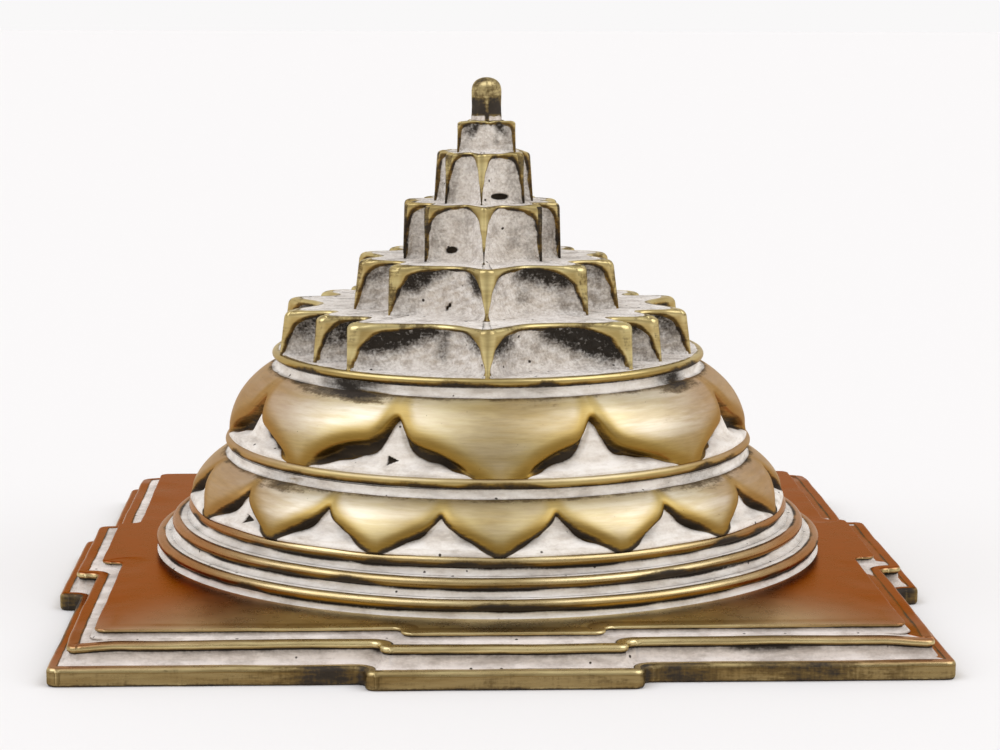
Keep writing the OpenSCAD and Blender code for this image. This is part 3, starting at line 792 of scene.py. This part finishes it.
def tier_lip(node):
    """Round plate under the fourteen points: a half-round lip and the chalky ledge they stand on."""
    low, lip_r, plug_r = FOOT[node], LIP_R[node], plug_radius(node)
    star_low = low + TIER_LIP_H
    bead_r = 0.76
    angle = angles(ROUND_COLUMNS)
    plug = np.array([(plug_r, LOW[node]), (plug_r, low)])
    neck = np.array([(lip_r - NECK_REACH, low), (lip_r - NECK_REACH, star_low - 2 * bead_r - 0.05)])
    bead, turn, worn = lip_bead(lip_r, star_low, bead_r, angle, seed=5.2)
    ledge_r = np.linspace(lip_r - bead_r - 0.1, 20.0, LEDGE_ROWS)
    ledge = np.stack([ledge_r, star_low + 0.25 * ramp(-ledge_r, -38.0, -30.0)], -1)
    away = lip_r - ledge_r
    parts = (plug, neck, bead, ledge)
    section = np.concatenate(parts)
    # Lip top worn, with a painted highlight; underside and neck dark with tarnish and painted shade
    chalk = stacked(parts, (0.0, [0.9, 0.6], 0.0, ramp(away, 1.0, 1.7)))
    edge = stacked(parts, (0.0, 0.0, 0.8 * ramp(turn, -10.0, 55.0), 1 - ramp(away, 0.9, 1.4)))
    dark = stacked(parts, (0.0, [0.3, 0.9], 0.0, 0.4 * bump(away, 1.2, 0.4)))
    dark = np.repeat(dark, ROUND_COLUMNS, 1)
    bead_row = len(plug) + len(neck)
    dark[bead_row:bead_row + BEAD_ROWS] = worn
    radius = section[:, :1] + waver(angle, 3.1, 0.12) * (section[:, :1] > plug_r + 1.0)
    points = turned(radius, section[:, 1:], angle)
    masks = {"chalk": chalk, "dark": dark, "edge": edge, "deep": np.minimum(2.5 * dark, 1.0)}
    make_piece(node + "_lip", node, "tier_brass", points, masks, pole=True)


def bindu_post(node, shift):
    """Bindu: a square post with soft corners, a corner to the front, under a low dome.

    The section is the curve |x|^p + |y|^p = 1 with p a little over 1, so its corners lie on the axes.
    """
    low, high = FOOT[node], TOP[node]
    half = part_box(node)[1].x / MM
    angle = angles(POST_COLUMNS)
    power = 1.25
    diamond = (np.abs(np.cos(angle)) ** power + np.abs(np.sin(angle)) ** power) ** (-1.0 / power)
    shoulder = 0.68
    dome_share = np.sin(np.linspace(0, math.pi / 2, DOME_ROWS))[1:]
    share = np.append(np.linspace(0.0, shoulder, POST_ROWS), shoulder + (1 - shoulder) * dome_share)
    share = share[:, None]
    over = np.clip((share - shoulder) / (1 - shoulder), 0.0, 1.0)
    dome = (1.0 - over ** 2.8) ** 0.5
    waist = 0.98 - 0.05 * np.sin(math.pi * np.clip(share / shoulder, 0, 1))
    section = mix(diamond, 0.88, 0.6 * ramp(share, 0.45, 0.95))
    radius = np.minimum(half * waist * dome * section, half)
    radius[-1] = 0.02
    corner = np.abs(np.cos(2 * angle)) ** 26 * ramp(np.cos(angle), -0.2, 0.5)
    foot = ramp(-share, -0.2, -0.04) * (1.0 - corner)
    edge = np.maximum(0.6 * corner * ramp(share, 0.15, 0.35), 0.6 * ramp(share, 0.5, 0.66))
    dark = mix(0.95, 0.3, corner * ramp(share, 0.1, 0.35)) * (1 - ramp(share, 0.3, 0.78))
    dark = np.maximum(dark, 0.28 + 0.4 * bump(angle, 2 * math.pi - 0.5, 0.5) * bump(share, 0.93, 0.08))
    masks = {"chalk": 0.8 * foot, "dark": dark * (1 - foot), "edge": edge}
    points = turned(radius, low + share * (high - low), angle) + np.array([shift, 0.0, 0.0])
    make_piece(node + "_casting", node, "bindu_brass", points, masks, pole=True)


# Materials

def linear(hex_colour):
    """sRGB hex to a linear RGBA colour."""
    parts = [int(hex_colour[i:i + 2], 16) / 255 for i in (1, 3, 5)]
    return [p / 12.92 if p <= 0.04045 else ((p + 0.055) / 1.055) ** 2.4 for p in parts] + [1.0]


def add_node(tree, kind, inputs, out=0, **settings):
    """Adds a shader node, sets its properties, links or sets its inputs, and returns one output."""
    node = tree.nodes.new("ShaderNode" + kind)
    for key, value in settings.items():
        setattr(node, key, value)
    for key, value in inputs.items():
        if isinstance(value, bpy.types.NodeSocket):
            tree.links.new(value, node.inputs[key])
        else:
            node.inputs[key].default_value = value
    return node.outputs[out]


def cast_brass(name, brass, deep, bright, copper, streaks, satin, lump_mm, drawn, fill):
    """Cast brass, hand-buffed: satin gold with brush lines, brown to black tarnish, grey-white chalk.

    The mould left pores and the recesses kept polish residue and tarnish, so the eye sees bright
    worn edges, dark outlines and a dry pale fill; the masks add painted shade, painted highlights
    and a painted red reflection. Streaks is the strength of the runs of tarnish, satin the
    roughness of the metal, lump_mm the relief and grit of the chalk, drawn how far its patches
    are drawn out round the axis, and fill its two colours.
    """
    material = bpy.data.materials.new(name)
    material.use_nodes = True
    tree = material.node_tree
    shader = tree.nodes["Principled BSDF"]
    smooth = {"interpolation_type": "SMOOTHSTEP"}
    rgba = {"data_type": "RGBA"}
    times = {"operation": "MULTIPLY"}
    times_plus = {"operation": "MULTIPLY_ADD"}

    def add(kind, inputs, out=0, **settings):
        return add_node(tree, kind, inputs, out, **settings)

    place = add("TexCoord", {}, "Object")
    chalk_at, dark_at, edge_at, copper_and_reflection_at, deep_at = [
        add("Attribute", {}, "Fac", attribute_name=key) for key in MASKS]

    # Noises: how they lie, the size of a blotch in millimetres, detail and roughness. The brush lines
    # and the grain are finer on the real one, and are drawn as coarse as they need to show.
    laid = add("Mapping", {"Vector": place, "Scale": (1 / drawn, 1 / drawn, 1.0)})
    lying = add("Mapping", {"Vector": place, "Scale": (0.1, 0.1, 1.0)})
    standing = add("Mapping", {"Vector": place, "Scale": (1.0, 1.0, 0.1)})
    blotches = {"cloud": (place, 14.0, 3.0, 0.5), "patch": (laid, 1.8, 5.0, 0.64),
                "grain": (place, 0.5, 3.0, 0.5), "brushed": (lying, 0.4, 4.0, 0.7),
                "runs": (standing, 0.7, 3.0, 0.6), "border": (laid, 2.6, 3.0, 0.5),
                "wiped": (lying, 2.2, 4.0, 0.6), "smudge": (laid, 4.5, 4.0, 0.6)}
    noise = SimpleNamespace()
    for key, (lie, size, detail, rough) in blotches.items():
        settings = {"Vector": lie, "Scale": 1 / (size * MM), "Detail": detail, "Roughness": rough}
        setattr(noise, key, add("TexNoise", settings, "Fac"))

    # Mask borders: slow for the chalk, ragged and drawn along the brush for tarnish and painted shade
    border = add("Math", {0: noise.border, 1: 1.3, 2: add("Math", {0: chalk_at, 1: -0.65})}, **times_plus)
    chalk = add("MapRange", {"Value": border, "From Min": 0.4, "From Max": 0.6}, "Result", **smooth)
    tears = ((noise.patch, 1.3), (noise.grain, 0.35), (noise.brushed, 0.6))
    ragged = -sum(sway for _, sway in tears) / 2
    for blotch, sway in tears:
        ragged = add("Math", {0: blotch, 1: sway, 2: ragged}, **times_plus)
    run_at = add("Math", {0: deep_at, 1: streaks}, **times)
    stain = add("Math", {0: add("Math", {0: noise.runs, 1: -0.5}), 1: run_at, 2: dark_at}, **times_plus)
    torn = add("MapRange", {"Value": dark_at, "From Max": 0.3, "To Min": 0.6, "To Max": 1.1}, "Result")
    torn = add("Math", {0: ragged, 1: torn}, **times)
    stain = add("Math", {0: stain, 1: torn}, operation="SUBTRACT")
    brown = add("MapRange", {"Value": stain, "From Min": 0.12, "From Max": 0.5}, "Result", **smooth)
    black = add("MapRange", {"Value": stain, "From Min": 0.42, "From Max": 0.85}, "Result", **smooth)

    # Metal: olive clouds and painted shade, worn edges and painted highlights, copper and painted red
    # reflection, brush lines
    olive = add("MapRange", {"Value": noise.cloud, "From Min": 0.35, "From Max": 0.65, "To Max": 0.6},
                "Result", **smooth)
    olive = add("Math", {0: olive, 1: deep_at}, operation="MAXIMUM")
    rubbed_and_highlight = add("MapRange", {"Value": noise.wiped, "From Min": 0.35, "From Max": 0.65,
                              "To Min": 0.4, "To Max": 0.95}, "Result", **smooth)
    rubbed_and_highlight = add("Math", {0: edge_at, 1: rubbed_and_highlight}, **times)
    metal = linear(brass)
    for share, tone in ((olive, deep), (rubbed_and_highlight, bright), (copper_and_reflection_at, copper)):
        metal = add("Mix", {0: share, 6: metal, 7: linear(tone)}, 2, **rgba)
    metal = add("Mix", {0: 0.25, 6: metal, 7: noise.brushed}, 2, blend_type="OVERLAY", **rgba)

    # Tarnish and painted shade on it: pores, then brown, then soot
    pores = add("MapRange", {"Value": noise.grain, "From Min": 0.73, "From Max": 0.8}, "Result", **smooth)
    browned = add("Math", {0: brown, 1: 0.8}, **times)
    soot = add("Mix", {0: noise.patch, 6: linear("#1d1814"), 7: linear("#453a30")}, 2, **rgba)
    tarnished = metal
    for share, tone in ((pores, linear("#4a3820")), (browned, linear("#5e4b2e")), (black, soot)):
        tarnished = add("Mix", {0: share, 6: tarnished, 7: tone}, 2, **rgba)

    # Chalk: a pale fill of two colours, with painted shade in the hollows of its relief and faint brush
    # lines
    mottle = add("Mix", {0: lump_mm, 2: noise.patch, 3: noise.grain})
    pale = add("MapRange", {"Value": mottle, "From Min": 0.38, "From Max": 0.62}, "Result", **smooth)
    hollow = add("MapRange", {"Value": noise.patch, "From Min": 0.33, "From Max": 0.43,
                              "To Min": 0.16, "To Max": 0.0}, "Result", **smooth)
    dust = linear(fill[0])
    for share, tone in ((pale, fill[1]), (hollow, "#7a6e64")):
        dust = add("Mix", {0: share, 6: dust, 7: linear(tone)}, 2, **rgba)
    dust = add("Mix", {0: 0.2, 6: dust, 7: noise.brushed}, 2, blend_type="OVERLAY", **rgba)

    # Soft brown smudges, a few black pits, and smoke with painted shade, ragged where the dark mask is high
    smudge = add("MapRange", {"Value": noise.smudge, "From Min": 0.5, "From Max": 0.74}, "Result", **smooth)
    smudged = add("Math", {0: smudge, 1: 0.45}, **times)
    speck = add("TexVoronoi", {"Vector": place, "Scale": 1 / (2.4 * MM)}, "Distance")
    chosen = add("SeparateColor", {"Color": speck.node.outputs["Color"]}, "Red")
    chosen = add("Math", {0: chosen, 1: 0.6}, operation="GREATER_THAN")
    pit = add("Math", {0: noise.grain, 1: 0.12, 2: speck}, **times_plus)
    pit = add("MapRange", {"Value": pit, "From Min": 0.14, "From Max": 0.2, "To Min": 1.0, "To Max": 0.0},
              "Result", **smooth)
    pit = add("Math", {0: pit, 1: chosen}, **times)
    sway = add("Math", {0: dark_at, 1: dark_at}, **times)
    sway = add("Math", {0: sway, 1: -1.2, 2: -0.15}, **times_plus)
    smoke = add("Math", {0: ragged, 1: 0.8, 2: -0.6 * lump_mm}, **times_plus)
    smoke = add("Math", {0: noise.grain, 1: 1.2 * lump_mm, 2: smoke}, **times_plus)
    smoke = add("Math", {0: smoke, 1: sway, 2: dark_at}, **times_plus)
    smoke = add("MapRange", {"Value": smoke, "From Min": 0.12, "From Max": 0.9}, "Result", **smooth)
    for share, tone in ((smudged, "#8f8278"), (pit, "#3d352f"), (smoke, "#2e2925")):
        dust = add("Mix", {0: share, 6: dust, 7: linear(tone)}, 2, **rgba)

    # Metal where there is neither chalk nor soot, and rougher under each layer
    bare = add("Math", {0: 1.0, 1: chalk}, operation="SUBTRACT")
    clean = add("Math", {0: black, 1: -0.75, 2: 1.0}, **times_plus)
    rough = satin
    for layer, gain in ((noise.brushed, 0.12), (brown, 0.12), (black, 0.3), (chalk, 0.35)):
        rough = add("Math", {0: layer, 1: gain, 2: rough}, use_clamp=True, **times_plus)

    # Relief: the chalk stands in lumps and wrinkles, the metal keeps faint brush lines
    lumps = add("Math", {0: noise.brushed, 1: 0.5, 2: noise.patch}, **times_plus)
    wrinkled = add("Math", {0: smudge, 1: 0.9, 2: 0.45}, **times_plus)
    lumps = add("Math", {0: lumps, 1: wrinkled}, **times)
    lumps = add("Math", {0: noise.grain, 1: 0.8, 2: lumps}, **times_plus)
    lumps = add("Math", {0: pit, 1: -0.4, 2: lumps}, **times_plus)
    lumps = add("Math", {0: add("Math", {0: lumps, 1: 0.4}), 1: chalk}, **times)
    lumps = add("Math", {0: noise.brushed, 1: 0.025 / lump_mm, 2: lumps}, **times_plus)

    sockets = {"Base Color": add("Mix", {0: chalk, 6: tarnished, 7: dust}, 2, **rgba),
               "Specular Tint": add("Gamma", {"Color": metal, "Gamma": 0.22}),
               "Metallic": add("Math", {0: bare, 1: clean}, **times),
               "Roughness": rough,
               "Normal": add("Bump", {"Strength": 0.8, "Distance": lump_mm * MM, "Height": lumps})}
    for key, value in sockets.items():
        tree.links.new(value, shader.inputs[key])
    return material


# Studio

def studio_floor():
    """Pale matt table top under the object."""
    size = 4.0
    mesh = bpy.data.meshes.new("floor")
    corners = [(-size, -size, 0.0), (size, -size, 0.0), (size, size, 0.0), (-size, size, 0.0)]
    mesh.from_pydata(corners, [], [(0, 1, 2, 3)])
    floor = bpy.data.objects.new("floor", mesh)
    bpy.context.scene.collection.objects.link(floor)
    material = bpy.data.materials.new("floor_paint")
    material.use_nodes = True
    shader = material.node_tree.nodes["Principled BSDF"]
    shader.inputs["Base Color"].default_value = linear("#efece8")
    shader.inputs["Roughness"].default_value = 0.8
    mesh.materials.append(material)


def screen(name, azimuth, height, spread, glow, colour):
    """Far soft screen: a sun lamp as wide as its spread, at an azimuth and a height, all in degrees."""
    light = bpy.data.lights.new(name, "SUN")
    light.angle = math.radians(spread)
    light.energy = glow * 2.0 * math.pi * (1.0 - math.cos(light.angle / 2))
    light.color = linear(colour)[:3]
    a, h = math.radians(azimuth), math.radians(height)
    towards = Vector((math.sin(a) * math.cos(h), -math.cos(a) * math.cos(h), math.sin(h)))
    thing = bpy.data.objects.new(name, light)
    thing.rotation_euler = towards.to_track_quat("Z", "Y").to_euler()
    bpy.context.scene.collection.objects.link(thing)


def studio_light():
    """Grey room, lighter at the sides and overhead, white behind, and a soft screen at each side."""
    world = bpy.data.worlds.new("studio")
    bpy.context.scene.world = world
    world.use_nodes = True
    tree = world.node_tree
    back = tree.nodes["Background"]
    view = add_node(tree, "TexCoord", {}, "Generated")
    across, behind, above = [add_node(tree, "SeparateXYZ", {0: view}, way) for way in "XYZ"]
    beside = add_node(tree, "Math", {0: across}, operation="ABSOLUTE")
    room = linear("#aca8a2")
    for way, tone in ((beside, "#d3cfc9"), (behind, "#f9f8f8"), (above, "#cecbc7")):
        share = add_node(tree, "MapRange", {"Value": way, "From Min": 0.1, "From Max": 0.8}, "Result",
                         interpolation_type="SMOOTHSTEP")
        room = add_node(tree, "Mix", {0: share, 6: room, 7: linear(tone)}, 2, data_type="RGBA")
    tree.links.new(room, back.inputs["Color"])
    back.inputs["Strength"].default_value = 1.0
    screen("left_screen", azimuth=-74, height=50, spread=52, glow=1.95, colour="#e8efff")
    screen("right_screen", azimuth=72, height=48, spread=52, glow=1.95, colour="#eef3ff")
    bpy.context.scene.view_settings.view_transform = "Standard"


def photo_camera():
    """Camera at the photograph's place: turned by its yaw, pitched down, then rolled about its axis."""
    yaw, pitch, roll = (math.radians(v) for v in (CAMERA_YAW, CAMERA_PITCH, CAMERA_ROLL))
    across = Vector((math.cos(yaw), math.sin(yaw), 0.0))
    level = Vector((-math.sin(yaw), math.cos(yaw), 0.0))
    upright = Vector((0.0, 0.0, 1.0))
    ahead = level * math.cos(pitch) - upright * math.sin(pitch)
    above = level * math.sin(pitch) + upright * math.cos(pitch)
    right = across * math.cos(roll) + above * math.sin(roll)
    up = above * math.cos(roll) - across * math.sin(roll)
    data = bpy.data.cameras.new("camera")
    data.sensor_width = SENSOR_MM
    data.lens = FOCAL_PX / FRAME_PX * SENSOR_MM
    camera = bpy.data.objects.new("camera", data)
    camera.location = [v * MM for v in CAMERA_AT]
    camera.rotation_euler = Matrix((right, up, -ahead)).transposed().to_euler()
    bpy.context.scene.collection.objects.link(camera)
    bpy.context.scene.camera = camera


# The finishes

PLASTER = ("#e6dccf", "#faf3e9")
LIMEWASH = ("#d6ccc1", "#f6efe6")
DUST = ("#c8bcb1", "#ebe0d6")
# Copper is partly a painted red reflection; bright and deep partly painted highlights and shade
FINISHES = {
    "plinth_brass": {"brass": "#a48a56", "deep": "#72572a", "bright": "#e2d09c", "copper": "#934319",
                     "streaks": 0.55, "satin": 0.22, "lump_mm": 0.14, "drawn": 3.5, "fill": DUST},
    "step_brass": {"brass": "#ad915a", "deep": "#7e5f2a", "bright": "#dfcc9c", "copper": "#a0643a",
                   "streaks": 0.2, "satin": 0.22, "lump_mm": 0.14, "drawn": 3.5, "fill": PLASTER},
    "petal_brass": {"brass": "#c0aa70", "deep": "#967737", "bright": "#eee7d6", "copper": "#ae7b4c",
                    "streaks": 0.1, "satin": 0.37, "lump_mm": 0.14, "drawn": 3.0, "fill": PLASTER},
    "tier_brass": {"brass": "#b29a5e", "deep": "#8c6d33", "bright": "#decd94", "copper": "#a47c48",
                   "streaks": 0.1, "satin": 0.24, "lump_mm": 0.5, "drawn": 1.0, "fill": LIMEWASH},
    "bindu_brass": {"brass": "#b3a070", "deep": "#8f7644", "bright": "#cdbb8a", "copper": "#96703a",
                    "streaks": 0.1, "satin": 0.26, "lump_mm": 0.3, "drawn": 1.0, "fill": DUST},
}
BRASS = {name: cast_brass(name, **finish) for name, finish in FINISHES.items()}

# The object, from the bottom to the top

plinth("lower_plinth", lip=0.0, setback=2.9, band=1.75, seed=0.4)
plinth("middle_plinth", lip=1.3, setback=4.3, band=2.1, seed=1.1)
plinth("upper_plinth", lip=0.6, setback=0.0, band=0.0, seed=2.3)
for seed, node in enumerate(CIRCLE_STEPS):
    circle_step(node, seed)
lotus_ring("sixteen_petal_ring", count=16, foot=(56.3, 17.05), belly=(54.9, 21.35), top=(50.0, 25.65),
           spire=Spire(height=0.9, width=1.4, blunt=1.7, shoulder=5.6),
           back_spire=Spire(height=2.6, width=2.3, blunt=2.2, shoulder=3.7), back_fall=1.05,
           flanks={"rest": (10.9, 1.05, 10.9, 1.05)},
           cut=Cut(depth=2.3, bevel=1.9, shade=0.6), neck_r=49.0,
           stains=[(-50, 9, 0.5), (48, 12, 0.5), (150, 20, 0.4)],
           pits=[(-44.6, 18.9, 0.9, 0.8)], seed=0.7)
lotus_ring("eight_petal_ring", count=8, foot=(48.9, 29.2), belly=(47.4, 35.55), top=(41.25, 41.9),
           spire=Spire(height=3.9, width=2.6, blunt=1.8, shoulder=5.5),
           back_spire=Spire(height=5.6, width=2.5, blunt=2.0, shoulder=3.1), back_fall=1.5,
           flanks={0: (14.6, 2.6, 18.4, 1.15), 7: (17.5, 3.2, 16.2, 2.2), "rest": (16.8, 2.0, 16.8, 2.0)},
           cut=Cut(depth=2.9, bevel=2.4, shade=2.0), neck_r=39.95,
           stains=[(-40, 13, 0.95), (10, 6, 0.35), (54, 9, 0.9), (-140, 18, 0.6), (170, 12, 0.4)],
           pits=[(-18.8, 31.4, 1.1, 0.9)], seed=1.9)
tier_lip("fourteen_point_tier")
star_tier("fourteen_point_tier", round_star(FOURTEEN, front=-1.2), radius=40.0, lean_rate=0.16,
          niche=Niche(depth=1.1, rim=0.75, cove=1.6, crumple=0.3),
          ridge=Ridge(foot=0.55, flat=0.75, flare=1.9, decay=1.4, side=0.75, shade=0.2),
          spandrel=Spandrel(width=4.2, decay=2.5), corner_r=1.3, soot_and_shade=1.25,
          smudges_and_shade=[(-11, 4, -0.7), (12, 6, -0.9), (-16, 3, 0.55)], holes=[],
          inner_share=0.55, shift=-0.75, seed=0.3)
star_tier("outer_ten_point_tier", round_star(TEN, front=-1.4), radius=26.5, lean_rate=0.16,
          niche=Niche(depth=0.9, rim=0.6, cove=1.4, crumple=0.25),
          ridge=Ridge(foot=0.35, flat=0.75, flare=1.5, decay=1.4, side=0.7, shade=0.4),
          spandrel=Spandrel(width=3.2, decay=2.2), corner_r=1.25, soot_and_shade=1.0,
          smudges_and_shade=[(-16, 5, -0.8), (10, 6, -0.8), (-13, 4, 0.3), (20, 6, 0.45)],
          holes=[(-8.1, 55.1, 0.25, 0.9, 0.5)], inner_share=0.5, shift=-0.6, seed=1.3)
star_tier("inner_ten_point_tier", round_star(TEN, front=-0.3), radius=15.8, lean_rate=0.04,
          niche=Niche(depth=1.1, rim=0.45, cove=1.1, crumple=0.1),
          ridge=Ridge(foot=0.2, flat=0.7, flare=1.6, decay=2.4, side=0.3, shade=0.9),
          spandrel=Spandrel(width=0.5, decay=2.4), corner_r=1.0, soot_and_shade=0.25,
          smudges_and_shade=[(-44, 8, 0.3), (-18, 6, 0.26), (30, 10, 0.34)],
          holes=[(-7.2, 64.6, 1.0, 0.65, 0.2)], inner_share=0.5, shift=-1.3, seed=2.3)
star_tier("eight_point_tier", round_star(EIGHT, front=-4.5), radius=10.0, lean_rate=0.09,
          niche=Niche(depth=0.85, rim=0.4, cove=0.9, crumple=0.08),
          ridge=Ridge(foot=0.15, flat=0.45, flare=1.1, decay=2.2, side=0.3, shade=0.7),
          spandrel=Spandrel(width=0.33, decay=2.2), corner_r=0.9, soot_and_shade=0.3,
          smudges_and_shade=[(-42, 10, 0.3), (38, 12, 0.36)],
          holes=[(2.2, 74.2, 1.3, 0.6, -0.2)], inner_share=0.5, shift=-0.9, seed=3.3)
star_tier("triangle_tier", TRIANGLE, radius=6.3, lean_rate=0.04,
          niche=Niche(depth=0.5, rim=0.35, cove=0.7, crumple=0.06),
          ridge=Ridge(foot=0.2, flat=0.2, flare=0.45, decay=0.9, side=0.5, shade=0.5),
          spandrel=Spandrel(width=0.22, decay=0.9), corner_r=0.6, soot_and_shade=0.75,
          smudges_and_shade=[(30, 12, 0.4)], holes=[], inner_share=0.3, shift=-0.5, seed=4.3)
bindu_post("bindu", shift=-0.4)

studio_floor()
studio_light()
photo_camera()
